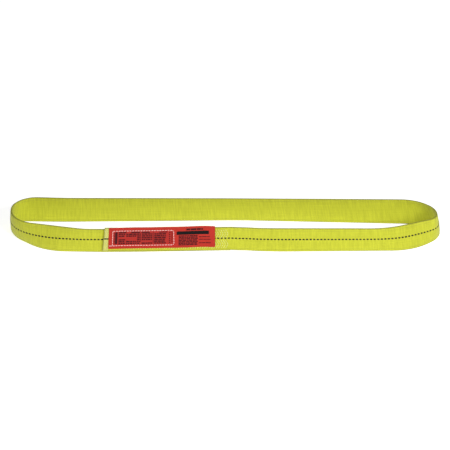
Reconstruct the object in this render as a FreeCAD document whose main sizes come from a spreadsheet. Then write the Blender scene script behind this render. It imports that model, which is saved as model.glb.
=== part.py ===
import FreeCAD, Part
import Sketcher
import math
import os

# An endless web sling standing on its edge: one flat web bent into a long loop, its two
# ends lapped and sewn together on the front leg, with a red tag sewn over the splice.
# X runs along the loop, Y from the front leg (-Y) to the back leg (+Y), Z up the width of
# the web. The origin is the middle of the footprint, on the surface that the edge rests on.

Vector = FreeCAD.Vector
doc = FreeCAD.newDocument("WebSling")

# ---------------------------------------------------------------- sizes, millimetres
SIZES = [
    ("web_width", 50.8, "width of the web, up Z"),
    ("web_thick", 3.4, "thickness of one ply"),
    ("lap_length", 250.0, "how far the two ends overlap"),
    ("splice_angle", 1.75, "degrees, the splice's heading from +X"),
    ("step_lead", 6.0, "where the inner ply is behind the cut end, ahead of it"),
    ("twist_plane", 185.0, "X where the right bight parts from the rest"),
    ("body_gap", 0.3, "clearance between pieces that move apart"),
    ("tracer_width", 2.0, "height of the black tracer floats"),
    ("tracer_proud", 0.25, "how far the floats stand off the face"),
    ("thread_proud", 0.25, "how far the sewing thread stands off the face"),
    ("thread_half", 1.7, "half of a zigzag stroke's height on Z"),
    ("seam_inset", 6.0, "from the splice's ends to the first stitches"),
    ("seam_pitch", 11.9, "one zigzag of the splice seam along the web"),
    ("seam_edge", 5.0, "from the web's edge to the seam"),
    ("seam_mid", 2.6, "from the middle of the web to the seam"),
    ("tag_start", 9.0, "from the cut end to the tag"),
    ("tag_foot", 7.3, "from the web's lower edge to the tag's lower edge"),
    ("tag_height", 47.2, "height of the tag, which stands a little above the web"),
    ("tag_panel", 134.0, "length of the sewn part of the tag"),
    ("tag_flap", 78.0, "length of the loose part of the tag"),
    ("tag_thick", 0.6, "thickness of the tag"),
    ("box_left", 8.5, "from the tag's end to the sewn box"),
    ("box_foot", 6.0, "from the tag's lower edge to the sewn box"),
    ("box_long", 122.0, "length of the sewn box"),
    ("box_high", 34.0, "height of the sewn box"),
    ("box_thread", 1.1, "width of the tag's stitch line"),
]

# Corners of the web's middle line seen from above, in the order the web runs from its
# outer cut end: x, y and the radius that rounds the corner.
CORNERS = [
    ("front_bend", 94.0, -61.2, 500.0),
    ("right_taper", 345.0, -60.2, 155.0),
    ("right_nose_front", 430.2, -17.6, 33.0),
    ("right_nose_back", 430.2, 24.6, 30.0),
    ("right_back", 368.5, 58.0, 125.0),
    ("back_crown", 0.0, 63.3, 2500.0),
    ("left_back", -431.6, 64.0, 34.0),
    ("left_front", -431.6, -5.8, 60.0),
    ("left_taper", -350.0, -62.8, 175.0),
    ("step_start", -293.0, -63.6, 60.0),
]
CUT_END = (-241.0, -63.5)
SPLICE_FOOT = (30.0, 400.0)
STEP_ROUND = 60.0

sheet = doc.addObject("Spreadsheet::Sheet", "Sizes")
rows = list(SIZES)
for corner, x, y, radius in CORNERS:
    rows.append((corner + "_x", x, "corner of the middle line"))
    rows.append((corner + "_y", y, "corner of the middle line"))
    rows.append((corner + "_round", radius, "radius at the corner"))
rows.append(("cut_end_x", CUT_END[0], "outer cut end, middle of the ply"))
rows.append(("cut_end_y", CUT_END[1], "outer cut end, middle of the ply"))
rows.append(("splice_foot_x", SPLICE_FOOT[0], "where the splice's line ends"))
rows.append(("splice_foot_round", SPLICE_FOOT[1], "radius at that corner"))
rows.append(("step_round", STEP_ROUND, "radius where the inner ply goes behind"))
for line, (alias, value, note) in enumerate(rows, start=1):
    sheet.set("A%d" % line, note)
    sheet.set("B%d" % line, str(value))
    sheet.setAlias("B%d" % line, alias)
doc.recompute()


def size(alias):
    """The plain number in the sheet's cell of that name."""
    return float(sheet.get(alias))


# ---------------------------------------------------------------- the run of the web
class PlanPath:
    """A run of straight lines and tangent arcs, seen from above."""

    def __init__(self, corners):
        self.steps = []
        self.length = 0.0
        here = Vector(corners[0][0], corners[0][1], 0)
        for index in range(1, len(corners) - 1):
            before = Vector(corners[index - 1][0], corners[index - 1][1], 0)
            corner = Vector(corners[index][0], corners[index][1], 0)
            after = Vector(corners[index + 1][0], corners[index + 1][1], 0)
            radius = corners[index][2]
            come = (corner - before).normalize()
            leave = (after - corner).normalize()
            turn = math.atan2(come.cross(leave).z, come.dot(leave))
            reach = radius * math.tan(abs(turn) / 2)
            start = corner - come * reach
            self._add(here, come, (start - here).dot(come), 0.0)
            self._add(start, come, radius * abs(turn), math.copysign(1 / radius, turn))
            here = corner + leave * reach
        last = Vector(corners[-1][0], corners[-1][1], 0)
        self._add(here, (last - here).normalize(), (last - here).Length, 0.0)

    def _add(self, start, heading, length, bend):
        if length > 0.001:
            self.steps.append((self.length, start, heading, length, bend))
            self.length += length

    def at(self, along, offset=0.0):
        """The point at a length along the run, moved outwards by offset."""
        for begin, start, heading, length, bend in self.steps:
            if along <= begin + length + 0.0001:
                break
        reach = along - begin
        angle = math.atan2(heading.y, heading.x) + bend * reach
        if bend:
            first = math.atan2(heading.y, heading.x)
            x = start.x + (math.sin(angle) - math.sin(first)) / bend
            y = start.y - (math.cos(angle) - math.cos(first)) / bend
        else:
            x = start.x + heading.x * reach
            y = start.y + heading.y * reach
        return Vector(x + offset * math.sin(angle), y - offset * math.cos(angle), 0)

    def crossing(self, plane_x, low, high):
        """The length along the run, between low and high, where it crosses X = plane_x."""
        rising = self.at(low).x < plane_x
        for _ in range(60):
            middle = (low + high) / 2
            if (self.at(middle).x < plane_x) == rising:
                low = middle
            else:
                high = middle
        return (low + high) / 2

    def trace(self, first, last, offset):
        """Lines and arcs that follow the run from first to last at an offset."""
        pieces = []
        for begin, start, heading, length, bend in self.steps:
            low = max(first, begin)
            high = min(last, begin + length)
            if high - low < 0.001:
                continue
            ends = [self.at(low + 1e-9, offset), self.at(high - 1e-9, offset)]
            if pieces:
                ends[0] = pieces[-1][1]
            if bend:
                middle = self.at((low + high) / 2, offset)
                pieces.append((ends[0], ends[1], middle))
            else:
                pieces.append((ends[0], ends[1], None))
        return pieces


def plan_corners():
    """All corners of the middle line, the ends of the web included."""
    turn = math.radians(size("splice_angle"))
    along = Vector(math.cos(turn), math.sin(turn), 0)
    inward = Vector(-math.sin(turn), math.cos(turn), 0)
    cut = Vector(size("cut_end_x"), size("cut_end_y"), 0)
    foot = cut + along * ((size("splice_foot_x") - cut.x) / along.x)
    corners = [(cut.x, cut.y, 0.0), (foot.x, foot.y, size("splice_foot_round"))]
    for corner, _, _, _ in CORNERS:
        corners.append((size(corner + "_x"), size(corner + "_y"), size(corner + "_round")))
    step = cut - along * size("step_lead") + inward * size("web_thick")
    end = cut + along * size("lap_length") + inward * size("web_thick")
    corners.append((step.x, step.y, size("step_round")))
    corners.append((end.x, end.y, 0.0))
    return corners


run = PlanPath(plan_corners())
front_split = run.crossing(size("twist_plane"), 0.0, size("lap_length") * 2.2)
back_split = run.crossing(size("twist_plane"), run.length * 0.35, run.length * 0.62)


# ---------------------------------------------------------------- building blocks
def origin_plane(body, role):
    """One of a body's own origin planes."""
    return [plane for plane in body.Origin.OriginFeatures if plane.Role == role][0]


def new_sketch(body, name, role):
    """A sketch flat on one of the body's origin planes."""
    sketch = body.newObject("Sketcher::SketchObject", name)
    sketch.AttachmentSupport = [(origin_plane(body, role), "")]
    sketch.MapMode = "FlatFace"
    return sketch


def new_pad(body, sketch, name, length):
    """A pad whose length is an expression of the sheet."""
    pad = body.newObject("PartDesign::Pad", name)
    pad.Profile = sketch
    pad.setExpression("Length", length)
    body.Tip = pad
    return pad


def draw(sketch, pieces):
    """Adds a closed profile of lines and arcs to a sketch."""
    geometry = []
    for start, end, middle in pieces:
        if middle is None:
            geometry.append(Part.LineSegment(start, end))
        else:
            geometry.append(Part.Arc(start, middle, end))
    sketch.addGeometry(geometry, False)
    count = len(geometry)
    for index, piece in enumerate(pieces):
        following = pieces[(index + 1) % count]
        tail = 2 if piece[2] is None or (piece[2] - piece[0]).cross(piece[1] - piece[0]).z > 0 else 1
        nose = 1
        if following[2] is not None:
            if (following[2] - following[0]).cross(following[1] - following[0]).z <= 0:
                nose = 2
        sketch.addConstraint(
            Sketcher.Constraint("Coincident", index, tail, (index + 1) % count, nose)
        )


def reversed_pieces(pieces):
    """The same lines and arcs, run the other way."""
    return [(end, start, middle) for start, end, middle in reversed(pieces)]


def band(label, first, last, inner, outer, height, lift):
    """A strip that follows the web's run, between two offsets, standing on edge."""
    body = doc.addObject("PartDesign::Body", label)
    body.Label = label
    sketch = new_sketch(body, label + "_plan", "XY_Plane")
    outside = run.trace(first, last, outer)
    inside = run.trace(first, last, inner)
    profile = list(outside)
    profile.append((outside[-1][1], inside[-1][1], None))
    profile += reversed_pieces(inside)
    profile.append((inside[0][0], outside[0][0], None))
    draw(sketch, profile)
    new_pad(body, sketch, label + "_pad", height)
    body.Placement = FreeCAD.Placement(Vector(0, 0, 0), FreeCAD.Rotation())
    if lift:
        body.setExpression("Placement.Base.z", lift)
    return body


def splice_body(label):
    """A body in the splice's frame: x along the lap, -y outwards, from the cut end."""
    body = doc.addObject("PartDesign::Body", label)
    body.Label = label
    turn = FreeCAD.Rotation(Vector(0, 0, 1), size("splice_angle"))
    body.Placement = FreeCAD.Placement(Vector(*CUT_END, 0), turn)
    body.setExpression("Placement.Base.x", "Sizes.cut_end_x")
    body.setExpression("Placement.Base.y", "Sizes.cut_end_y")
    return body


def rectangle(sketch, left, foot, width, height):
    """A rectangle whose four sizes are expressions of the sheet."""
    base = sketch.GeometryCount
    spots = [(0, 0), (1, 0), (1, 1), (0, 1)]
    lines = []
    for index in range(4):
        x0, z0 = spots[index]
        x1, z1 = spots[(index + 1) % 4]
        lines.append(
            Part.LineSegment(Vector(10 + 50 * x0, 5 + 30 * z0, 0), Vector(10 + 50 * x1, 5 + 30 * z1, 0))
        )
    sketch.addGeometry(lines, False)
    for index in range(4):
        following = base + (index + 1) % 4
        sketch.addConstraint(Sketcher.Constraint("Coincident", base + index, 2, following, 1))
        kind = "Horizontal" if index % 2 == 0 else "Vertical"
        sketch.addConstraint(Sketcher.Constraint(kind, base + index))
    bound = [
        ("DistanceX", (-1, 1, base, 1), left),
        ("DistanceY", (-1, 1, base, 1), foot),
        ("DistanceX", (base, 1, base, 2), width),
        ("DistanceY", (base + 1, 1, base + 1, 2), height),
    ]
    for kind, places, expression in bound:
        number = sketch.addConstraint(Sketcher.Constraint(kind, *places, 10.0))
        sketch.setExpression("Constraints[%d]" % number, expression)


def splice_plate(label, outlines, gap, thick):
    """A flat piece of the splice: rectangles on the web's face, gap out from mid-ply."""
    body = splice_body(label)
    for number, outline in enumerate(outlines, start=1):
        sketch = new_sketch(body, "%s_outline%d" % (label, number), "XZ_Plane")
        for left, foot, width, height in outline:
            rectangle(sketch, left, foot, width, height)
        sketch.setExpression("AttachmentOffset.Base.z", gap)
        new_pad(body, sketch, "%s_pad%d" % (label, number), thick)
    return body


def seam(label, foot, head, gap):
    """A zigzag row of sewing thread that lies on a face of the splice."""
    body = splice_body(label)
    sketch = new_sketch(body, label + "_row", "XZ_Plane")
    half = size("thread_half")
    span = size("lap_length") - 2 * size("seam_inset")
    strokes = 2 * int(span / size("seam_pitch"))
    spots = []
    for index in range(strokes + 1):
        level = foot + half if index % 2 == 0 else head - half
        spots.append(Vector(size("seam_inset") + span * index / strokes, level, 0))
    upper = [spot + Vector(0, half, 0) for spot in spots]
    lower = [spot - Vector(0, half, 0) for spot in spots]
    ring = upper + lower[::-1]
    profile = []
    for index, spot in enumerate(ring):
        profile.append((spot, ring[(index + 1) % len(ring)], None))
    draw(sketch, profile)
    sketch.setExpression("AttachmentOffset.Base.z", gap)
    new_pad(body, sketch, label + "_pad", "Sizes.thread_proud")
    return body


# ---------------------------------------------------------------- the web
half_ply = size("web_thick") / 2
half_gap = size("body_gap") / 2
parts = [
    band("web_front_run", 0.0, front_split - half_gap, -half_ply, half_ply,
         "Sizes.web_width", None),
    band("web_left_run", back_split + half_gap, run.length, -half_ply, half_ply,
         "Sizes.web_width", None),
    band("web_right_bight", front_split + half_gap, back_split - half_gap, -half_ply,
         half_ply, "Sizes.web_width", None),
]

# The black tracer yarn shows on the outer face only, along the middle of the web.
tracer_lift = "Sizes.web_width / 2 - Sizes.tracer_width / 2"
tracer_out = half_ply + size("tracer_proud")
hidden_from = run.length - size("lap_length") - size("step_lead") / 2
parts += [
    band("tracer_front", 0.0, front_split - half_gap, half_ply, tracer_out,
         "Sizes.tracer_width", tracer_lift),
    band("tracer_left", back_split + half_gap, hidden_from, half_ply, tracer_out,
         "Sizes.tracer_width", tracer_lift),
    band("tracer_right", front_split + half_gap, back_split - half_gap, half_ply,
         tracer_out, "Sizes.tracer_width", tracer_lift),
]

# ---------------------------------------------------------------- the splice's thread
middle = size("web_width") / 2
low_row = (size("seam_edge"), middle - size("seam_mid"))
high_row = (middle + size("seam_mid"), size("web_width") - size("seam_edge"))
front_face = "Sizes.web_thick / 2"
back_face = "-Sizes.web_thick * 1.5 - Sizes.thread_proud"
parts += [
    seam("splice_thread_front_lower", low_row[0], low_row[1], front_face),
    seam("splice_thread_front_upper", high_row[0], high_row[1], front_face),
    seam("splice_thread_back_lower", low_row[0], low_row[1], back_face),
    seam("splice_thread_back_upper", high_row[0], high_row[1], back_face),
]

# ---------------------------------------------------------------- the tag
tag_back = "Sizes.web_thick / 2 + Sizes.thread_proud"
tag_face = tag_back + " + Sizes.tag_thick"
parts += [
    splice_plate(
        "tag_panel",
        [[("Sizes.tag_start", "Sizes.tag_foot", "Sizes.tag_panel", "Sizes.tag_height")]],
        tag_back,
        "Sizes.tag_thick",
    ),
    splice_plate(
        "tag_flap",
        [[("Sizes.tag_start + Sizes.tag_panel + Sizes.body_gap", "Sizes.tag_foot",
           "Sizes.tag_flap", "Sizes.tag_height")]],
        tag_back + " + Sizes.body_gap",
        "Sizes.tag_thick",
    ),
    splice_plate(
        "tag_stitches",
        [
            [
                ("Sizes.tag_start + Sizes.box_left", "Sizes.tag_foot + Sizes.box_foot",
                 "Sizes.box_long", "Sizes.box_high"),
                ("Sizes.tag_start + Sizes.box_left + Sizes.box_thread",
                 "Sizes.tag_foot + Sizes.box_foot + Sizes.box_thread",
                 "Sizes.box_long - 2 * Sizes.box_thread",
                 "Sizes.box_high - 2 * Sizes.box_thread"),
            ],
            [
                ("Sizes.tag_start", "Sizes.tag_foot + Sizes.box_foot",
                 "Sizes.box_left + Sizes.box_thread", "Sizes.box_thread"),
            ],
        ],
        tag_face,
        "Sizes.thread_proud",
    ),
]

# ---------------------------------------------------------------- check and write
doc.recompute()
for item in doc.Objects:
    faults = [state for state in item.State if state in ("Invalid", "Error")]
    if faults:
        raise RuntimeError("%s: %s" % (item.Name, faults))
for part in parts:
    if part.Shape.isNull() or not part.Shape.isValid() or len(part.Shape.Solids) != 1:
        raise RuntimeError(part.Label + " is not one sound solid")
os.makedirs("parts", exist_ok=True)
for part in parts:
    part.Shape.exportStep("parts/" + part.Label + ".step")
loop = run.length - size("lap_length")
print("middle line %.1f mm, round the loop %.1f mm" % (run.length, loop))
for part in parts:
    box = part.Shape.BoundBox
    print("%-26s %8.1f %8.1f %8.2f %8.2f %7.2f %7.2f  %.0f mm3" % (
        part.Label, box.XMin, box.XMax, box.YMin, box.YMax, box.ZMin, box.ZMax,
        part.Shape.Volume))
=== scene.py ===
"""An endless web sling standing on its edge: webbing loop, sewn splice and red tag."""

import logging
import math
import random
from dataclasses import dataclass, field
from enum import Enum

import bpy
import numpy as np
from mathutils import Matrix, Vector


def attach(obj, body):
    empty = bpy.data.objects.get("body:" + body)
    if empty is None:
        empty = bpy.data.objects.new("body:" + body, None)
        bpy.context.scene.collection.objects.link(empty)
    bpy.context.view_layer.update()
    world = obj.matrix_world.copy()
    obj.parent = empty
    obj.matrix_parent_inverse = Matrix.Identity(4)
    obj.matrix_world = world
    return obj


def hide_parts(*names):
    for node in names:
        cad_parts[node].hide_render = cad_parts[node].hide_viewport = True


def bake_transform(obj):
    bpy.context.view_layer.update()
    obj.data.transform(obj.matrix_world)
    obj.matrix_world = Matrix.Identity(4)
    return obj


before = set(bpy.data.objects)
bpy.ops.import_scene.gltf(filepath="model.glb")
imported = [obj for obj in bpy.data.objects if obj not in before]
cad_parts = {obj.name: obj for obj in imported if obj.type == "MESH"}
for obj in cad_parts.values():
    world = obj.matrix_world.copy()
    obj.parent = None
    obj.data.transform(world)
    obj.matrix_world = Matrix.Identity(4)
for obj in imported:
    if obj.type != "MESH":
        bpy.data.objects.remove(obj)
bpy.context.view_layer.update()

MM = 0.001
LOG = logging.getLogger("web_sling")


class Face(Enum):
    """The two faces of the web: the outer one carries the tracer."""

    OUTER = 1
    INNER = -1


# ------------------------------------------------------------------ mesh helpers
def clear_selection() -> None:
    """Leaves object mode with nothing selected."""
    if bpy.context.object is not None and bpy.context.object.mode != "OBJECT":
        bpy.ops.object.mode_set(mode="OBJECT")
    bpy.ops.object.select_all(action="DESELECT")


def pick(piece: bpy.types.Object) -> None:
    """Makes a piece the only selected and the active object.

    Args:
        piece: the object to pick.
    """
    clear_selection()
    piece.select_set(True)
    bpy.context.view_layer.objects.active = piece


def coords_of(piece: bpy.types.Object) -> np.ndarray:
    """Reads where a piece's vertices are.

    Args:
        piece: the mesh object.

    Returns:
        Their coordinates as an (n, 3) array.
    """
    found = np.zeros(len(piece.data.vertices) * 3)
    piece.data.vertices.foreach_get("co", found)
    return found.reshape(-1, 3)


def place_vertices(piece: bpy.types.Object, points: np.ndarray) -> None:
    """Moves every vertex of a piece.

    Args:
        piece: the mesh object.
        points: an (n, 3) array of places in the row frame.
    """
    piece.data.vertices.foreach_set("co", np.asarray(points, np.float32).ravel())
    piece.data.update()


def set_uv(piece: bpy.types.Object, spots: np.ndarray) -> None:
    """Gives each vertex's place on the cloth to the piece's UV map.

    Args:
        piece: the mesh object.
        spots: an (n, 2) array, one row for each vertex.
    """
    mesh = piece.data
    layer = mesh.uv_layers.active or mesh.uv_layers.new(name="UVMap")
    corner = np.zeros(len(mesh.loops), np.int32)
    mesh.loops.foreach_get("vertex_index", corner)
    layer.data.foreach_set("uv", np.asarray(spots, np.float32)[corner].ravel())


def flat_grid(name: str, columns: int, rows: int) -> bpy.types.Object:
    """Adds a unit grid as the start of a sheet, its lower corner at the origin.

    Args:
        name: the piece's name.
        columns: squares along X.
        rows: squares along Y.

    Returns:
        The new object.
    """
    clear_selection()
    bpy.ops.mesh.primitive_grid_add(
        x_subdivisions=columns, y_subdivisions=rows, size=1, location=(0.5, 0.5, 0)
    )
    piece = bpy.context.object
    bpy.ops.object.transform_apply(location=True, rotation=True, scale=True)
    piece.name = name
    piece.data.name = name
    return piece


def add_object(name: str, data: bpy.types.ID) -> bpy.types.Object:
    """Puts new mesh, light or camera data in the scene.

    Args:
        name: the object's name.
        data: what it holds.

    Returns:
        The new object.
    """
    piece = bpy.data.objects.new(name, data)
    bpy.context.scene.collection.objects.link(piece)
    return piece


def mesh_piece(name: str, points: np.ndarray, faces: list) -> bpy.types.Object:
    """Makes a piece from points and faces.

    Args:
        name: the piece's name.
        points: an (n, 3) array of places.
        faces: a tuple of point numbers for each face.

    Returns:
        The new object.
    """
    mesh = bpy.data.meshes.new(name)
    mesh.from_pydata([tuple(point) for point in points], [], faces)
    mesh.update()
    return add_object(name, mesh)


def turn_outwards() -> None:
    """Turns the faces of the mesh being edited outwards and leaves edit mode."""
    bpy.ops.mesh.select_all(action="SELECT")
    bpy.ops.mesh.normals_make_consistent(inside=False)
    bpy.ops.object.mode_set(mode="OBJECT")


def report(piece: bpy.types.Object) -> None:
    """Logs a finished piece and its count of faces."""
    LOG.info("%s: %d faces", piece.name, len(piece.data.polygons))


def join_copies(name: str, pattern: bpy.types.Object, places: list) -> bpy.types.Object:
    """Copies one small shape to many places and joins the copies.

    Args:
        name: the joined piece's name.
        pattern: the shape, modelled once; it is removed afterwards.
        places: for each copy, the coordinates of all its vertices.

    Returns:
        The joined object.
    """
    count = len(pattern.data.vertices)
    base = [tuple(face.vertices) for face in pattern.data.polygons]
    faces = [tuple(v + i * count for v in face) for i in range(len(places)) for face in base]
    piece = mesh_piece(name, np.concatenate(places), faces)
    bpy.data.objects.remove(pattern, do_unlink=True)
    return piece


def smooth(piece: bpy.types.Object, degrees: float = 40.0) -> None:
    """Shades a piece smooth, except across edges sharper than an angle."""
    pick(piece)
    bpy.ops.object.shade_smooth_by_angle(angle=math.radians(degrees))


def thicken(piece: bpy.types.Object, thickness: float, offset: float) -> None:
    """Gives a sheet its thickness with an applied Solidify modifier.

    Args:
        piece: the sheet.
        thickness: in metres.
        offset: 1 grows it along its normals, -1 against them.
    """
    pick(piece)
    solid = piece.modifiers.new("thickness", "SOLIDIFY")
    solid.thickness = thickness
    solid.offset = offset
    bpy.ops.object.modifier_apply(modifier=solid.name)


# ------------------------------------------------------------------ materials
class NodeSheet:
    """A material's node tree, with short ways to add and join nodes."""

    def __init__(self, name: str) -> None:
        """Makes an empty material with a Principled shader and an output.

        Args:
            name: the material's name.
        """
        self.material = bpy.data.materials.new(name)
        self.material.use_nodes = True
        self.nodes = self.material.node_tree.nodes
        self.links = self.material.node_tree.links
        self.nodes.clear()
        self.output = self.nodes.new("ShaderNodeOutputMaterial")
        self.shader = self.nodes.new("ShaderNodeBsdfPrincipled")
        self.links.new(self.shader.outputs["BSDF"], self.output.inputs["Surface"])

    def math(self, operation: str, first: object, second: object = 0.0) -> object:
        """Adds a Math node.

        Args:
            operation: its operation.
            first: a socket or a number.
            second: a socket or a number.

        Returns:
            The node's output socket.
        """
        node = self.nodes.new("ShaderNodeMath")
        node.operation = operation
        for socket, value in zip(node.inputs, (first, second)):
            if isinstance(value, (int, float)):
                socket.default_value = value
            else:
                self.links.new(value, socket)
        return node.outputs[0]

    def times(self, first: object, second: object) -> object:
        """The product of two sockets or numbers."""
        return self.math("MULTIPLY", first, second)

    def distance(self, first: object, second: float) -> object:
        """How far a socket's value is from a number."""
        return self.math("ABSOLUTE", self.math("SUBTRACT", first, second))

    def noise(self, vector: object, scale: float, detail: float = 2.0) -> object:
        """Adds a noise texture, centred on 0.5.

        Args:
            vector: the socket with the place.
            scale: cells in a metre.
            detail: octaves of finer noise.

        Returns:
            The noise's socket.
        """
        node = self.nodes.new("ShaderNodeTexNoise")
        node.inputs["Scale"].default_value = scale
        node.inputs["Detail"].default_value = detail
        self.links.new(vector, node.inputs["Vector"])
        return node.outputs["Fac"]

    def stretched(self, along: object, across: object, long: float, wide: float) -> object:
        """A noise vector with its own cell size along and across the cloth.

        Args:
            along: the socket with metres along the cloth.
            across: the socket with metres across it.
            long: the cell's length in metres.
            wide: the cell's width in metres.

        Returns:
            The vector socket.
        """
        node = self.nodes.new("ShaderNodeCombineXYZ")
        self.links.new(self.times(along, 1 / long), node.inputs[0])
        self.links.new(self.times(across, 1 / wide), node.inputs[1])
        return node.outputs[0]

    def blend(self, share: object, first: object, second: object) -> object:
        """Mixes two colours.

        Args:
            share: a socket or a number, 0 for the first colour.
            first: an RGB tuple or a socket.
            second: an RGB tuple or a socket.

        Returns:
            The mixed colour's socket.
        """
        node = self.nodes.new("ShaderNodeMix")
        node.data_type = "RGBA"
        sockets = (node.inputs[0], node.inputs[6], node.inputs[7])
        for socket, value in zip(sockets, (share, first, second)):
            if isinstance(value, tuple):
                socket.default_value = (*value, 1.0)
            elif isinstance(value, (int, float)):
                socket.default_value = value
            else:
                self.links.new(value, socket)
        return node.outputs[2]

    def bump(self, height: object, distance: float, strength: float) -> None:
        """Roughens the shader's normal.

        Args:
            height: the relief's socket.
            distance: the relief's depth in metres.
            strength: 0 for none, 1 for all of it.
        """
        node = self.nodes.new("ShaderNodeBump")
        node.inputs["Distance"].default_value = distance
        node.inputs["Strength"].default_value = strength
        self.links.new(height, node.inputs["Height"])
        self.links.new(node.outputs["Normal"], self.shader.inputs["Normal"])

    def coordinate(self, name: str) -> object:
        """A Texture Coordinate output, such as Object or UV."""
        return self.nodes.new("ShaderNodeTexCoord").outputs[name]

    def split(self, vector: object) -> tuple:
        """Takes a vector apart.

        Args:
            vector: the vector's socket.

        Returns:
            The sockets of its X, Y and Z.
        """
        node = self.nodes.new("ShaderNodeSeparateXYZ")
        self.links.new(vector, node.inputs[0])
        return tuple(node.outputs)

    def finish(self, colour: object, roughness: float, specular: float) -> None:
        """Gives the shader its colour and gloss.

        Args:
            colour: the base colour's socket.
            roughness: 0 for polished, 1 for chalky.
            specular: the strength of its highlights.
        """
        self.links.new(colour, self.shader.inputs["Base Color"])
        self.shader.inputs["Roughness"].default_value = roughness
        self.shader.inputs["Specular IOR Level"].default_value = specular


@dataclass(frozen=True)
class WovenWeb:
    """The webbing's finish: coarse yellow-green polyester with fine picks, with painted shade
    along both edges and at the cut ends.
    """

    bright: tuple = (0.66, 0.68, 0.040)
    deep: tuple = (0.38, 0.40, 0.016)
    # edge: the selvedge colour, also used as painted shade laid along both edges of the web
    edge: tuple = (0.28, 0.28, 0.050)
    melted: tuple = (0.62, 0.62, 0.24)
    # sealed: the heat-sealed end colour, also a painted shadow of the cut end's edge
    sealed_and_shaded: tuple = (0.24, 0.23, 0.03)
    pick: float = 1.725 * MM
    warp: float = 1.15 * MM
    width: float = 50.8 * MM
    top_selvedge_and_shade: float = 0.9 * MM
    foot_selvedge_and_contact_shade: float = 1.5 * MM
    groove_in: float = 4.9 * MM
    groove_half: float = 0.5 * MM
    stiff_end: float = 9.5 * MM
    sealed_shade_end: float = 1.6 * MM
    roughness: float = 0.78

    def material(self, length: float) -> bpy.types.Material:
        """Builds the material on the web's own UV map, which is in metres.

        Args:
            length: the web's cut length, to find the cut ends, which get the heat-seal colour and
                a painted shadow.

        Returns:
            The material.
        """
        sheet = NodeSheet("woven_web")
        along, across, _ = sheet.split(sheet.coordinate("UV"))
        turn = 2 * math.pi
        picks = sheet.math("SINE", sheet.times(along, turn / self.pick))
        drift = sheet.times(along, turn / (2 * self.pick))
        warps = sheet.math("ADD", sheet.times(across, turn / self.warp), drift)
        weave = sheet.times(picks, sheet.math("SINE", warps))
        weave = sheet.math("ADD", sheet.times(weave, 0.5), 0.5)
        fuzz = sheet.noise(sheet.coordinate("Object"), 900.0, 3.0)
        broad = sheet.noise(sheet.coordinate("Object"), 38.0, 2.0)
        weft = sheet.noise(sheet.stretched(along, across, 2.6 * MM, 30 * MM), 1.0, 1.0)
        warp = sheet.noise(sheet.stretched(along, across, 90 * MM, 1.5 * MM), 1.0, 1.0)
        shade = sheet.times(weave, 0.4)
        for layer, share in ((fuzz, 0.3), (broad, 0.1), (weft, 0.8), (warp, 0.4)):
            shade = sheet.math("ADD", shade, sheet.times(layer, share))
        shade = sheet.math("SUBTRACT", shade, 0.5)
        colour = sheet.blend(shade, self.deep, self.bright)
        middle = sheet.distance(across, self.width / 2)
        # Darker bands along both edges: part woven selvedge, part painted shade; the foot band is
        # stronger, a painted contact shadow where the web stands on the floor.
        top = sheet.math("GREATER_THAN", across, self.width - self.top_selvedge_and_shade)
        foot = sheet.math("LESS_THAN", across, self.foot_selvedge_and_contact_shade)
        selvedge_and_shade = sheet.math("ADD", sheet.times(top, 0.35), sheet.times(foot, 0.85))
        groove = sheet.math("COMPARE", middle, self.width / 2 - self.groove_in)
        groove.node.inputs[2].default_value = self.groove_half
        share = sheet.math("MAXIMUM", selvedge_and_shade, sheet.times(groove, 0.3))
        colour = sheet.blend(share, colour, self.edge)
        stiff = sheet.math("LESS_THAN", along, self.stiff_end)
        colour = sheet.blend(sheet.times(stiff, 0.5), colour, self.melted)
        # Darker at both cut ends: heat-sealed edge plus a painted shadow of the cut end's edge.
        centre = sheet.distance(along, length / 2)
        ends = sheet.math("GREATER_THAN", centre, length / 2 - self.sealed_shade_end)
        colour = sheet.blend(sheet.times(ends, 0.8), colour, self.sealed_and_shaded)
        sheet.finish(colour, self.roughness, 0.25)
        sheet.shader.inputs["Sheen Weight"].default_value = 0.15
        sheet.shader.inputs["Sheen Roughness"].default_value = 0.5
        relief = sheet.math("ADD", weave, sheet.times(fuzz, 0.5))
        sheet.bump(relief, 0.12 * MM, 0.6)
        return sheet.material


@dataclass(frozen=True)
class Yarn:
    """A yarn or thread finish: one colour with a fine filament grain."""

    name: str
    colour: tuple
    shade: tuple
    roughness: float = 0.7

    def material(self) -> bpy.types.Material:
        """Builds the material.

        Returns:
            The material.
        """
        sheet = NodeSheet(self.name)
        grain = sheet.noise(sheet.coordinate("Object"), 2200.0, 2.0)
        colour = sheet.blend(grain, self.shade, self.colour)
        sheet.finish(colour, self.roughness, 0.3)
        sheet.bump(grain, 0.05 * MM, 0.5)
        return sheet.material


@dataclass(frozen=True)
class Vinyl:
    """The tag's finish: soft red vinyl, lightly grained."""

    colour: tuple = (0.50, 0.024, 0.012)
    shade: tuple = (0.42, 0.019, 0.009)
    printed: tuple = (0.31, 0.012, 0.012)
    print_middle: tuple = (70 * MM, 24 * MM)
    print_half: tuple = (57.5 * MM, 14 * MM)
    roughness: float = 0.42

    def material(self) -> bpy.types.Material:
        """Builds the material.

        Returns:
            The material.
        """
        sheet = NodeSheet("red_vinyl")
        cloud = sheet.noise(sheet.coordinate("Object"), 60.0, 3.0)
        grain = sheet.noise(sheet.coordinate("Object"), 1500.0, 2.0)
        colour = sheet.blend(cloud, self.shade, self.colour)
        along, across, _ = sheet.split(sheet.coordinate("UV"))
        wide = sheet.distance(along, self.print_middle[0])
        high = sheet.distance(across, self.print_middle[1])
        inside = sheet.times(
            sheet.math("LESS_THAN", wide, self.print_half[0]),
            sheet.math("LESS_THAN", high, self.print_half[1]),
        )
        colour = sheet.blend(sheet.times(inside, 0.4), colour, self.printed)
        sheet.finish(colour, self.roughness, 0.22)
        sheet.bump(grain, 0.02 * MM, 0.3)
        return sheet.material


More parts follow.
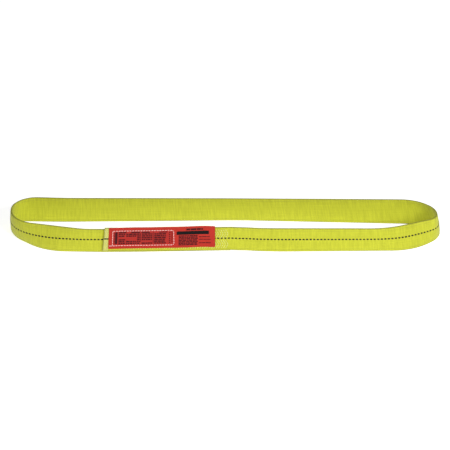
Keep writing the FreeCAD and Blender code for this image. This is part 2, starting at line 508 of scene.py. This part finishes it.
@dataclass(frozen=True)
class Ink:
    """A flat printed ink."""

    name: str
    colour: tuple
    roughness: float = 0.45

    def material(self) -> bpy.types.Material:
        """Builds the material.

        Returns:
            The material.
        """
        sheet = NodeSheet(self.name)
        wear = sheet.noise(sheet.coordinate("Object"), 700.0, 2.0)
        lighter = tuple(min(1.0, c * 1.5 + 0.004) for c in self.colour)
        colour = sheet.blend(wear, self.colour, lighter)
        sheet.finish(colour, self.roughness, 0.12)
        return sheet.material


# ------------------------------------------------------------------ the web's run
@dataclass(frozen=True)
class Corner:
    """A corner of the loop's plan, in millimetres, at the web's lower and upper edge."""

    low: tuple
    high: tuple


class EdgeRun:
    """One edge of the web seen from above: lines joined by tangent arcs."""

    def __init__(self, corners: list) -> None:
        """Rounds the corners.

        Args:
            corners: (x, y, radius) of each corner in metres, ends included.
        """
        begins, starts, angles, bends = [], [], [], []
        length = 0.0
        here = np.array(corners[0][:2])
        for before, corner, after in zip(corners, corners[1:], corners[2:]):
            come = np.subtract(corner[:2], before[:2])
            leave = np.subtract(after[:2], corner[:2])
            come /= np.linalg.norm(come)
            leave /= np.linalg.norm(leave)
            turn = math.atan2(come[0] * leave[1] - come[1] * leave[0], come @ leave)
            reach = corner[2] * math.tan(abs(turn) / 2)
            start = np.array(corner[:2]) - come * reach
            heading = math.atan2(come[1], come[0])
            begins += [length, length + (start - here) @ come]
            starts += [here, start]
            angles += [heading, heading]
            bends += [0.0, math.copysign(1 / corner[2], turn)]
            length = begins[-1] + corner[2] * abs(turn)
            here = np.array(corner[:2]) + leave * reach
        last = np.subtract(corners[-1][:2], here)
        begins.append(length)
        starts.append(here)
        angles.append(math.atan2(last[1], last[0]))
        bends.append(0.0)
        self.length = length + float(np.linalg.norm(last))
        self.begins = np.array(begins)
        self.starts = np.array(starts)
        self.angles = np.array(angles)
        self.bends = np.array(bends)

    def at(self, along: np.ndarray) -> tuple:
        """Points and headings along the run.

        Args:
            along: metres from the outer cut end.

        Returns:
            The (n, 2) points and the (n, 2) unit headings.
        """
        order = np.clip(np.searchsorted(self.begins, along, side="right") - 1, 0, None)
        reach = along - self.begins[order]
        first = self.angles[order]
        bend = self.bends[order]
        angle = first + bend * reach
        flat = bend == 0.0
        safe = np.where(flat, 1.0, bend)
        run_x = np.where(flat, np.cos(first) * reach, (np.sin(angle) - np.sin(first)) / safe)
        run_y = np.where(flat, np.sin(first) * reach, (np.cos(first) - np.cos(angle)) / safe)
        points = self.starts[order] + np.stack([run_x, run_y], axis=1)
        return points, np.stack([np.cos(angle), np.sin(angle)], axis=1)


@dataclass
class WebRun:
    """The middle surface of the web: a ruled strip between its two edges.

    The first two corners and the crown of the back leg were given. The other eight
    corners and the depths of the bow were worked out by a least-squares fit in
    another program, so they aren't round numbers.
    """

    width: float = 50.8 * MM
    thickness: float = 3.4 * MM
    length: float = 2089.4 * MM
    lap: float = 250.0 * MM
    true_run: float = 290.0 * MM
    step_lead: float = 6.0
    step_round: float = 60.0
    lift_along: tuple = (0.0, 254.0, 271.0, 292.0, 310.0)
    lift_high: tuple = (4.8, 2.7, 1.6, 0.7, 0.0)
    bow_along: tuple = (640.0, 730.0, 800.0, 880.0, 1560.0, 1650.0, 1730.0, 1810.0)
    bow_deep: tuple = (0.0, 2.7, 2.7, 0.0, 0.0, 2.3, 2.3, 0.0)
    cut_end: Corner = Corner((-241.0, -66.9, 0.0), (-241.0, -65.8, 0.0))
    knee: Corner = Corner((-165.0, -65.9, 900.0), (-165.0, -64.8, 900.0))
    corners: tuple = (
        Corner((45.0, -59.0, 300.0), (45.0, -57.6, 300.0)),
        Corner((110.0, -61.9, 500.0), (100.0, -59.3, 500.0)),
        Corner((374.8, -57.8, 112.4), (321.6, -60.0, 169.7)),
        Corner((433.4, -6.8, 60.8), (424.4, -16.1, 24.3)),
        Corner((434.0, 41.7, 22.0), (424.8, 22.5, 49.7)),
        Corner((368.1, 51.4, 150.0), (387.4, 60.1, 73.9)),
        Corner((28.0, 66.0, 900.0), (0.0, 64.9, 2500.0)),
        Corner((-330.1, 59.5, 900.0), (-317.7, 66.3, 300.0)),
        Corner((-436.9, 62.2, 21.9), (-430.5, 72.1, 46.5)),
        Corner((-430.8, 2.7, 83.2), (-430.0, -26.6, 58.9)),
        Corner((-358.6, -60.1, 114.1), (-281.2, -61.8, 120.0)),
    )
    low: EdgeRun = field(init=False)
    high: EdgeRun = field(init=False)

    def __post_init__(self) -> None:
        """Rounds both edges' corners."""
        self.low = EdgeRun(self._edge("low"))
        self.high = EdgeRun(self._edge("high"))
        LOG.info("edges run %.1f and %.1f mm", self.low.length * 1e3, self.high.length * 1e3)

    def _edge(self, which: str) -> list:
        """All corners of one edge in metres, the ends of the web included.

        Args:
            which: low or high.

        Returns:
            (x, y, radius) of each corner.
        """
        cut, knee = getattr(self.cut_end, which), getattr(self.knee, which)
        found = [cut, knee] + [getattr(corner, which) for corner in self.corners]
        places = [np.array(corner[:2]) for corner in found[:3]]
        first, second = places[1] - places[0], places[2] - places[1]
        reach = float(np.linalg.norm(first))
        first /= reach
        second /= np.linalg.norm(second)
        gap = self.thickness / MM
        inward = np.array([-first[1], first[0]]) * gap
        turned = np.array([-second[1], second[0]]) * gap
        rest = self.lap / MM - reach
        found.append((*(places[0] - first * self.step_lead + inward), self.step_round))
        found.append((*(places[1] + (inward + turned) / 2), knee[2]))
        found.append((*(places[1] + second * rest + turned), 0.0))
        return [tuple(value * MM for value in corner) for corner in found]

    def lift(self, along: np.ndarray) -> np.ndarray:
        """How far the outer ply stands off the floor where it is sewn up high.

        Args:
            along: metres from the outer cut end.

        Returns:
            Heights in metres.
        """
        return np.interp(along / MM, self.lift_along, self.lift_high) * MM

    def _reach(self, along: np.ndarray, edge: EdgeRun) -> np.ndarray:
        """Where along an edge a pick lies: true lengths in the lap, shared out elsewhere.

        Args:
            along: metres from the outer cut end, on the flat cloth.
            edge: the lower or upper edge.

        Returns:
            Metres from the edge's own start.
        """
        ends = [0.0, self.true_run, self.length - self.true_run, self.length]
        places = [0.0, self.true_run, edge.length - self.true_run, edge.length]
        return np.interp(along, ends, places)

    def wrap(self, along: np.ndarray, across: np.ndarray, out: np.ndarray) -> np.ndarray:
        """Puts points of the flat cloth on the bent web.

        Args:
            along: metres from the outer cut end.
            across: metres up the web's width.
            out: metres outwards from the middle surface.

        Returns:
            The (n, 3) points in the row frame.
        """
        along = np.asarray(along)
        inside = np.clip(along, 0.0, self.length)
        low, low_heading = self.low.at(self._reach(inside, self.low))
        high, high_heading = self.high.at(self._reach(inside, self.high))
        rise = (np.asarray(across) / self.width)[:, None]
        heading = low_heading * (1 - rise) + high_heading * rise
        heading /= np.linalg.norm(heading, axis=1)[:, None]
        spare = (along - inside)[:, None]
        bow = np.interp(along / MM, self.bow_along, self.bow_deep) * MM
        out = np.asarray(out) + 4 * bow * rise[:, 0] * (1 - rise[:, 0])
        plan = low * (1 - rise) + high * rise + heading * spare
        plan += np.stack([heading[:, 1], -heading[:, 0]], axis=1) * out[:, None]
        return np.column_stack([plan, np.asarray(across) + self.lift(along)])


# ------------------------------------------------------------------ the webbing
@dataclass
class Webbing:
    """The woven loop and the black tracer in its outer face."""

    run: WebRun
    pick: float = 1.725 * MM
    samples: int = 3
    relief: float = 0.055 * MM
    end_skew: float = 6.6 * MM
    skew_reach: float = 30.0 * MM
    twist_from: float = 30.0 * MM
    twist_to: float = 340.0 * MM
    float_pitch: float = 7.057 * MM
    float_first: float = 1.84 * MM
    float_length: float = 4.6 * MM
    float_height: float = 3.2 * MM
    float_centre: float = 27.1 * MM
    float_wander: float = 1.5 * MM
    float_proud: float = 0.4 * MM
    float_square: float = 0.62
    cut_float: tuple = (4.0 * MM, 6.0 * MM)
    end_clearance: float = 0.3 * MM
    wander_from: float = 1.70

    def section(self) -> list:
        """The web's cross-section from its lower edge up the outer face and back.

        Returns:
            (height, outward offset) pairs in metres, a closed ring.
        """
        half = self.run.thickness / MM / 2
        wide = self.run.width / MM
        rise = [
            (0.0, half * 0.6),
            (0.5, half * 0.97),
            (4.2, half * 1.03),
            (4.9, half * 0.92),
            (5.6, half),
        ]
        flat = [(wide * share, half) for share in (0.27, 0.5, 0.73)]
        outer = rise + flat + [(wide - v, d) for v, d in reversed(rise)]
        inner = [(v, -d) for v, d in reversed(outer)]
        return [(v * MM, d * MM) for v, d in outer + inner]

    def cut_shift(self, along: np.ndarray, across: np.ndarray) -> np.ndarray:
        """How far the skewed cut ends shift a point along the web.

        Args:
            along: metres from the outer cut end.
            across: metres up the width.

        Returns:
            The shift in metres.
        """
        rise = across / self.run.width - 0.5
        outer = np.clip(1 - along / self.skew_reach, 0, 1) ** 2
        inner = np.clip(1 - (self.run.length - along) / self.skew_reach, 0, 1) ** 2
        return rise * self.end_skew * (outer - 0.5 * inner)

    def build_web(self) -> bpy.types.Object:
        """Builds the woven loop as one closed strip.

        Returns:
            The webbing.
        """
        ring = np.array(self.section())
        rows = len(ring)
        picks = round(self.run.length / self.pick)
        columns = picks * self.samples
        piece = flat_grid("webbing", columns, rows)
        share = coords_of(piece)
        step = np.rint(share[:, 0] * columns).astype(int)
        turn = np.rint(share[:, 1] * rows).astype(int) % rows
        along = step / columns * self.run.length
        across, out = ring[turn, 0], ring[turn, 1]
        wave = np.cos(step * 2 * math.pi / self.samples)
        body = np.clip(np.abs(out) / (self.run.thickness / 2), 0, 1)
        out = out + np.sign(out) * body * wave * self.relief
        nearest = np.minimum(along, self.run.length - along)
        blunt = np.interp(nearest, [0, 0.0005, 0.0012, 0.003], [0.82, 1.02, 1.06, 1.0])
        out = out * blunt
        points = self.run.wrap(along + self.cut_shift(along, across), across, out)
        place_vertices(piece, points)
        set_uv(piece, np.stack([along, across], axis=1))
        pick(piece)
        bpy.ops.object.mode_set(mode="EDIT")
        bpy.ops.mesh.select_all(action="SELECT")
        bpy.ops.mesh.remove_doubles(threshold=1e-6)
        bpy.ops.mesh.select_all(action="DESELECT")
        bpy.ops.mesh.select_mode(type="EDGE")
        bpy.ops.mesh.select_non_manifold()
        bpy.ops.mesh.fill_holes(sides=0)
        turn_outwards()
        smooth(piece, 50.0)
        return piece

    def build_tracer(self) -> bpy.types.Object:
        """Builds the row of black floats on the outer face, one shape copied.

        Returns:
            The tracer.
        """
        clear_selection()
        bpy.ops.mesh.primitive_uv_sphere_add(segments=8, ring_count=5, radius=1)
        pattern = bpy.context.object
        shape = coords_of(pattern)
        turned = np.stack([shape[:, 2], shape[:, 0], shape[:, 1]], axis=1)
        turned = np.sign(turned) * np.abs(turned) ** self.float_square
        lap_start = self.run.length - self.run.lap
        last = lap_start - self.float_length / 2 - self.end_clearance
        count = int((last - self.float_first) / self.float_pitch)
        floats = [self.cut_float]
        floats += [
            (self.float_first + index * self.float_pitch, self.float_length)
            for index in range(1, count + 1)
        ]
        places = []
        for middle, reach in floats:
            along = middle + turned[:, 0] * reach / 2
            wander = np.interp(middle, (self.wander_from, lap_start), (0, 1))
            across = self.float_centre + wander * self.float_wander
            across = across + turned[:, 1] * self.float_height / 2
            out = self.run.thickness / 2 + turned[:, 2] * self.float_proud
            places.append(self.run.wrap(along, across, out))
        piece = join_copies("tracer_yarn", pattern, places)
        smooth(piece, 80.0)
        return piece

    def dress(self) -> None:
        """Builds the web and tracer, finishes them and bakes their placing into their meshes."""
        web = self.build_web()
        web.data.materials.append(WovenWeb().material(self.run.length))
        tracer = self.build_tracer()
        black = Yarn("tracer_black", (0.010, 0.010, 0.006), (0.003, 0.003, 0.002))
        tracer.data.materials.append(black.material())
        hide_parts("web_front_run", "web_left_run", "web_right_bight")
        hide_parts("tracer_front", "tracer_left", "tracer_right")
        for piece in (web, tracer):
            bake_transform(piece)
        report(web)
        report(tracer)


# ------------------------------------------------------------------ sewing
@dataclass
class Stitcher:
    """Lays sewing thread as short rounded stitches on the bent web."""

    run: WebRun
    thread: float = 0.75 * MM
    length: float = 4.2 * MM
    gap: float = 0.9 * MM

    def pattern(self) -> bpy.types.Object:
        """Models one stitch: a short capsule of a few dozen faces, one unit long.

        Returns:
            The stitch.
        """
        clear_selection()
        bpy.ops.mesh.primitive_cylinder_add(
            vertices=6, radius=0.5, depth=1.0, end_fill_type="NGON", rotation=(0, math.pi / 2, 0)
        )
        piece = bpy.context.object
        bpy.ops.object.transform_apply(location=False, rotation=True, scale=True)
        bpy.ops.object.mode_set(mode="EDIT")
        bpy.ops.mesh.select_all(action="SELECT")
        bpy.ops.mesh.bevel(offset=0.22, segments=1, affect="EDGES")
        bpy.ops.mesh.select_all(action="SELECT")
        bpy.ops.mesh.remove_doubles(threshold=1e-5)
        turn_outwards()
        return piece

    def row(self, points: list) -> list:
        """Divides a polyline on the flat cloth into stitches.

        Args:
            points: (along, across) corners in metres.

        Returns:
            (start, end) pairs of (along, across) for each stitch.
        """
        stitches = []
        for first, last in zip(points, points[1:]):
            first, last = np.array(first), np.array(last)
            reach = float(np.linalg.norm(last - first))
            count = max(1, round(reach / (self.length + self.gap)))
            heading = (last - first) / reach
            pitch = reach / count
            for index in range(count):
                begin = first + heading * (index * pitch + self.gap / 2)
                stitches.append((begin, begin + heading * (pitch - self.gap)))
        return stitches

    def lay(self, name: str, rows: list, out: object, tilt: object = None) -> bpy.types.Object:
        """Builds all stitches of some rows as one piece.

        Args:
            name: the piece's name.
            rows: polylines on the flat cloth.
            out: gives the offset from the middle surface at (along, across).
            tilt: gives how much higher the stitches sit at (along), if they do.

        Returns:
            The joined stitches.
        """
        pattern = self.pattern()
        shape = coords_of(pattern)
        places = []
        for corners in rows:
            for begin, end in self.row(corners):
                reach = float(np.linalg.norm(end - begin))
                heading = (end - begin) / reach
                side = np.array([-heading[1], heading[0]])
                middle = (begin + end) / 2
                lift = 1 - (2 * shape[:, 0]) ** 2 * 0.55
                flat = middle + np.outer(shape[:, 0] * reach, heading)
                flat += np.outer(shape[:, 1] * self.thread, side)
                level = out(flat[:, 0], flat[:, 1])
                rise = (shape[:, 2] + 0.12) * self.thread * 0.8 * lift
                high = flat[:, 1] + (tilt(flat[:, 0]) if tilt else 0.0)
                places.append(self.run.wrap(flat[:, 0], high, level[0] + level[1] * rise))
        piece = join_copies(name, pattern, places)
        pick(piece)
        bpy.ops.object.mode_set(mode="EDIT")
        turn_outwards()
        smooth(piece, 70.0)
        return piece


@dataclass
class Splice:
    """The four faces of zigzag sewing that hold the lapped ends together."""

    run: WebRun
    inset: float = 2.4 * MM
    pitch: float = 4.7 * MM
    slant: float = 5.0 * MM
    edge: float = 4.2 * MM
    mid: float = 2.4 * MM
    end_clear: float = 1.5 * MM

    def half(self, foot: float, head: float) -> list:
        """Rows for one half of the width: nested slanted strokes.

        Args:
            foot: the edge-side height of the half, in metres.
            head: the tracer-side height of the half, in metres.

        Returns:
            A list of polylines on the flat cloth.
        """
        first, last = self.inset, self.run.lap - self.end_clear
        rows = []
        count = int((last - first - self.slant) / self.pitch)
        for index in range(count + 1):
            start = first + index * self.pitch
            middle = (foot + head) / 2
            tip = start + self.slant
            rows.append([(start, foot), (tip, middle), (start, head)])
        return rows

    def outward(self, face: Face) -> object:
        """A function that gives the sewn face's offset and its outward sign.

        Args:
            face: the outer face of the outer ply, or the inner face of the inner.

        Returns:
            A function of (along, across).
        """
        if face is Face.OUTER:
            return lambda along, across: (self.run.thickness / 2, 1.0)
        return lambda along, across: (-self.run.thickness * 1.5, -1.0)

    def dress(self) -> None:
        """Builds, finishes and places the four pieces of sewing."""
        thread = Yarn("splice_cream", (0.76, 0.75, 0.36), (0.58, 0.58, 0.20), 0.6).material()
        wide = self.run.width
        halves = {
            "lower": (self.edge, wide / 2 - self.mid),
            "upper": (wide - self.edge, wide / 2 + self.mid),
        }
        for face, word in ((Face.OUTER, "front"), (Face.INNER, "back")):
            for half, (foot, head) in halves.items():
                name = f"splice_sewing_{word}_{half}"
                stitcher = Stitcher(self.run, thread=1.1 * MM, length=3.6 * MM, gap=0.9 * MM)
                piece = stitcher.lay(name, self.half(foot, head), self.outward(face))
                piece.data.materials.append(thread)
                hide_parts(f"splice_thread_{word}_{half}")
                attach(piece, "sling")
                report(piece)


# ------------------------------------------------------------------ the tag
@dataclass
class Tag:
    """The red vinyl tag: a sewn panel, a loose flap, its stitches and print."""

    run: WebRun
    start: float = 9.0 * MM
    foot: float = 4.3 * MM
    height: float = 47.2 * MM
    length: float = 212.3 * MM
    hinge: float = 134.15 * MM
    fold: float = 4.5 * MM
    thickness: float = 0.5 * MM
    stand_off: float = 0.32 * MM
    tilt_along: tuple = (0.0, 30.0, 60.0, 90.0, 134.0, 150.0, 175.0, 195.0, 212.3)
    tilt_high: tuple = (0.5, 1.5, 2.1, 2.3, 2.6, 3.1, 4.2, 4.8, 5.0)
    box_left: float = 8.5 * MM
    box_foot: float = 7.0 * MM
    box_long: float = 122.0 * MM
    box_high: float = 32.6 * MM
    box_lean: float = 1.8 * MM
    box_corner: float = 2.4 * MM
    corner_round: float = 0.9 * MM
    skew: float = 3.4 * MM
    skew_pivot: float = 0.1
    ink_thick: float = 0.04 * MM
    ink_gap: float = 0.01 * MM
    block_step: float = 3.0
    fold_high: float = 27.5 * MM

    def level(self, along: np.ndarray, across: np.ndarray) -> np.ndarray:
        """The offset of the tag's back face from the outer ply's middle surface.

        Args:
            along: metres from the tag's sewn end.
            across: metres up from the tag's foot.

        Returns:
            Offsets in metres.
        """
        loose = np.clip((along - self.hinge) / (self.length - self.hinge), 0, 1)
        curl = 2.3 * MM * loose**1.6 + 0.5 * MM * np.sin(loose * 7.0) * loose
        corner = 0.9 * MM * loose**4 * (across / self.height) ** 2
        ripple = 0.12 * MM * np.sin(along * 95.0) * np.cos(across * 130.0)
        return self.run.thickness / 2 + self.stand_off + curl + corner + ripple + 0.12 * MM

    def tilt(self, along: np.ndarray) -> np.ndarray:
        """How far the tag, sewn on a little askew, has risen along its length.

        Args:
            along: metres from the tag's sewn end.

        Returns:
            Heights in metres.
        """
        return np.interp(along / MM, self.tilt_along, self.tilt_high) * MM

    def tilt_on_web(self, along: np.ndarray) -> np.ndarray:
        """The tag's tilt at a place of the web.

        Args:
            along: metres from the outer cut end.

        Returns:
            Heights in metres.
        """
        return self.tilt(along - self.start)

    def on_tag(self, along: np.ndarray, across: np.ndarray, rise: np.ndarray) -> np.ndarray:
        """Places points given from the tag's lower sewn corner.

        Args:
            along: metres from the tag's sewn end.
            across: metres up from the tag's foot.
            rise: metres outwards from the tag's back face.

        Returns:
            The (n, 3) points in the row frame.
        """
        level = self.level(along, across)
        lean = self.skew_pivot - across / self.height
        skew = lean * (1 - along / self.length) * self.skew
        high = self.foot + self.tilt(along) + across
        return self.run.wrap(self.start + along - skew, high, level + rise)

    def build_sheet(self) -> bpy.types.Object:
        """Builds the tag as one thin sheet with softly rounded corners.

        Returns:
            The sheet.
        """
        piece = flat_grid("tag_sheet", 150, 26)
        share = coords_of(piece)
        along = share[:, 0] * self.length
        across = share[:, 1] * self.height
        radius = self.corner_round
        for at_end in (0.0, self.length):
            for at_side in (0.0, self.height):
                near = radius - np.abs(along - at_end)
                high = radius - np.abs(across - at_side)
                inside = (near > 0) & (high > 0)
                reach = np.hypot(near, high)
                limit = np.maximum(near, high)
                scale = np.where(inside & (reach > 0), limit / np.maximum(reach, 1e-9), 1.0)
                shift = np.where(inside, radius - near * scale, np.abs(along - at_end))
                lift = np.where(inside, radius - high * scale, np.abs(across - at_side))
                along = np.where(inside, at_end + np.sign(0.5 - (at_end > 0)) * shift, along)
                across = np.where(inside, at_side + np.sign(0.5 - (at_side > 0)) * lift, across)
        place_vertices(piece, self.on_tag(along, across, np.zeros(len(along))))
        set_uv(piece, np.stack([along, across], axis=1))
        pick(piece)
        thicken(piece, self.thickness, 1.0)
        smooth(piece, 45.0)
        return piece

    def print_blocks(self, name: str, blocks: list, ink: object) -> bpy.types.Object:
        """Builds flat printed blocks just proud of the tag's face.

        Args:
            name: the piece's name.
            blocks: (left, foot, right, head) of each block, in millimetres from
                the tag's lower sewn corner.
            ink: the material.

        Returns:
            The joined blocks.
        """
        faces, spots = [], []
        for left, foot, right, head in blocks:
            columns = max(1, math.ceil((right - left) / self.block_step))
            base = len(spots)
            for column in range(columns + 1):
                x = left + (right - left) * column / columns
                spots += [(x * MM, foot * MM), (x * MM, head * MM)]
            for column in range(columns):
                corner = base + 2 * column
                faces.append((corner, corner + 2, corner + 3, corner + 1))
        spots = np.array(spots)
        rise = self.thickness + self.ink_gap
        points = self.on_tag(spots[:, 0], spots[:, 1], np.full(len(spots), rise))
        piece = mesh_piece(name, points, faces)
        thicken(piece, self.ink_thick, 1.0)
        piece.data.materials.append(ink)
        return piece

    def words(self, rng: random.Random, row: tuple, longest: float) -> list:
        """Divides one printed line into plain blocks the length of words.

        Args:
            rng: the random numbers to draw lengths from.
            row: (left, foot, right, height) of the line in millimetres.
            longest: the longest word in millimetres.

        Returns:
            (left, foot, right, head) blocks.
        """
        left, foot, right, high = row
        blocks = []
        while left < right - 1.5:
            end = min(right, left + rng.uniform(longest * 0.35, longest))
            blocks.append((left, foot, end, foot + high))
            left = end + rng.uniform(0.6, 1.1)
        return blocks

    def panel_blocks(self) -> list:
        """Plain blocks for the sewn panel: a heading, a small table and two side bands.

        Returns:
            (left, foot, right, head) blocks.
        """
        rng = random.Random(7)
        blocks = [(13.0, 10.6, 17.6, 37.4)]
        blocks += [(20.0, 34.6, 35.5, 37.4), (44.5, 34.6, 62.5, 37.4), (65.5, 34.6, 82.0, 37.4)]
        blocks += [(10.6, 12.0 + 3.6 * row, 12.2, 14.4 + 3.6 * row) for row in range(7)]
        for row in range(6):
            foot = 11.4 + 4.4 * row
            blocks += [(120.6, foot, 122.8, foot + 2.6), (125.4, foot + 1.0, 127.4, foot + 3.6)]
        for row in range(6):
            foot = 10.2 + 4.1 * row
            for left, right in ((20, 33), (35, 55), (57, 64), (66, 87), (91, 114)):
                if rng.random() < 0.86:
                    blocks += self.words(rng, (left, foot, right, 2.9), 8.0)
        blocks += [(88.6, 10.8, 89.4, 36.6), (55.6, 10.8, 56.2, 33.0), (100.0, 35.0, 117.0, 37.0)]
        return blocks

    def flap_blocks(self) -> tuple:
        """Plain blocks for the loose flap.

        Returns:
            The heavy black bar's blocks and the fine lines' blocks.
        """
        heavy = [(135.4, 29.0, 137.0, 35.6), (137.0, 29.0, 200.0, 36.8)]
        rng = random.Random(11)
        fine = self.words(rng, (155.0, 38.4, 188.0, 4.2), 12.0)
        for row in range(7):
            fine += self.words(rng, (139.5, 5.2 + 3.3 * row, 178.0, 2.5), 8.0)
        for foot in (8.6, 16.6, 22.4):
            fine += self.words(rng, (180.0, foot, 203.5, 1.7), 11.0)
        return heavy, fine

    def build_stitches(self) -> bpy.types.Object:
        """Builds the sewn box and its lead-in row.

        Returns:
            The stitches.
        """
        left, foot = self.box_left, self.box_foot
        right, head = left + self.box_long, foot + self.box_high
        bend = self.box_corner
        rows = [
            [(0.8 * MM, foot), (left, foot)],
            [(left, foot), (right - bend, foot), (right, foot + bend), (right, head - bend)]
            + [(right - bend, head), (left + self.box_lean, head), (left, foot)],
        ]
        moved = [[(self.start + x, self.foot + y) for x, y in row] for row in rows]
        stitcher = Stitcher(self.run, thread=1.45 * MM, length=4.2 * MM, gap=1.2 * MM)

        def out(along: np.ndarray, across: np.ndarray) -> tuple:
            """The tag's outer face at a place of the web, and its outward sign."""
            level = self.level(along - self.start, across - self.foot)
            return level + self.thickness, 1.0

        return stitcher.lay("tag_sewing", moved, out, self.tilt_on_web)

    def dress(self) -> None:
        """Builds, finishes and places the tag and what is on it."""
        sheet = self.build_sheet()
        sheet.data.materials.append(Vinyl().material())
        sewing = self.build_stitches()
        white = Yarn("tag_thread_white", (0.97, 0.76, 0.73), (0.82, 0.52, 0.50), 0.55)
        sewing.data.materials.append(white.material())
        dark = Ink("ink_oxblood", (0.045, 0.002, 0.004)).material()
        black = Ink("ink_black", (0.003, 0.001, 0.001)).material()
        heavy, fine = self.flap_blocks()
        panel_print = self.print_blocks("panel_print", self.panel_blocks(), dark)
        flap_bar = self.print_blocks("flap_bar", heavy, black)
        flap_print = self.print_blocks("flap_print", fine, dark)
        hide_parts("tag_panel", "tag_flap")
        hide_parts("tag_stitches")
        fold = self.start + self.hinge
        ends = np.array([fold - self.fold, fold + self.fold])
        level = np.full(2, self.run.thickness / 2 + self.stand_off)
        start, end = self.run.wrap(ends, np.full(2, self.fold_high), level)
        for piece in (sheet, flap_bar, flap_print):
            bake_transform(piece)
        for piece in (sewing, panel_print):
            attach(piece, "sling")
        for piece in (sheet, sewing, panel_print, flap_bar, flap_print):
            report(piece)


# ------------------------------------------------------------------ the studio
@dataclass
class Studio:
    """A pale floor, soft light and the camera."""

    distance: float = 4.0
    elevation: float = math.radians(29.3)
    lens: float = 159.0
    target: tuple = (0.0, 0.0, 0.0254)
    lights: tuple = (
        ("key_right", (2.0, -2.8, 1.9), 1.4, 84.0),
        ("key_left", (-0.8, -3.2, 1.9), 1.4, 28.0),
        ("back", (0.3, 2.6, 2.0), 2.4, 10.0),
    )

    def floor(self) -> bpy.types.Object:
        """Adds the pale floor.

        Returns:
            The floor.
        """
        clear_selection()
        bpy.ops.mesh.primitive_plane_add(size=30.0, location=(0.0, 0.0, 0.0))
        floor = bpy.context.object
        floor.name = "floor"
        sheet = NodeSheet("pale_floor")
        looks = {
            "Base Color": (0.92, 0.92, 0.92, 1.0),
            "Roughness": 1.0,
            "Specular IOR Level": 0.0,
            "Emission Color": (1.0, 1.0, 1.0, 1.0),
            "Emission Strength": 0.72,
        }
        for name, value in looks.items():
            sheet.shader.inputs[name].default_value = value
        floor.data.materials.append(sheet.material)
        return floor

    def light(self, name: str, place: tuple, size: float, power: float) -> None:
        """Adds a large soft area light aimed at the object.

        Args:
            name: the light's name.
            place: its place in metres.
            size: its side in metres.
            power: its power in watts.
        """
        lamp = bpy.data.lights.new(name, "AREA")
        lamp.size = size
        lamp.energy = power
        holder = add_object(name, lamp)
        holder.location = place
        aim = Vector(self.target) - Vector(place)
        holder.rotation_mode = "QUATERNION"
        holder.rotation_quaternion = aim.to_track_quat("-Z", "Y")

    def camera(self) -> None:
        """Adds the camera and makes it the scene's."""
        data = bpy.data.cameras.new("camera")
        data.lens = self.lens
        data.sensor_width = 36.0
        data.clip_end = 100.0
        holder = add_object("camera", data)
        back = Vector((0.0, -math.cos(self.elevation), math.sin(self.elevation)))
        holder.location = Vector(self.target) + back * self.distance
        holder.rotation_mode = "QUATERNION"
        holder.rotation_quaternion = (-back).to_track_quat("-Z", "Y")
        bpy.context.scene.camera = holder

    def set_up(self) -> None:
        """Builds the floor, lights, world and camera."""
        self.floor()
        self.camera()
        for name, place, size, power in self.lights:
            self.light(name, place, size, power)
        world = bpy.data.worlds.new("studio")
        world.use_nodes = True
        sky = world.node_tree.nodes["Background"]
        sky.inputs["Color"].default_value = (1.0, 1.0, 1.0, 1.0)
        sky.inputs["Strength"].default_value = 0.12
        bpy.context.scene.world = world
        bpy.context.scene.view_settings.view_transform = "Standard"


def main() -> None:
    """Builds the sling, its tag and the studio, in order."""
    logging.basicConfig(level=logging.INFO, format="%(name)s: %(message)s")
    run = WebRun()
    studio = Studio()
    studio.set_up()
    Webbing(run).dress()
    Splice(run).dress()
    Tag(run).dress()


if __name__ == "__main__":
    main()
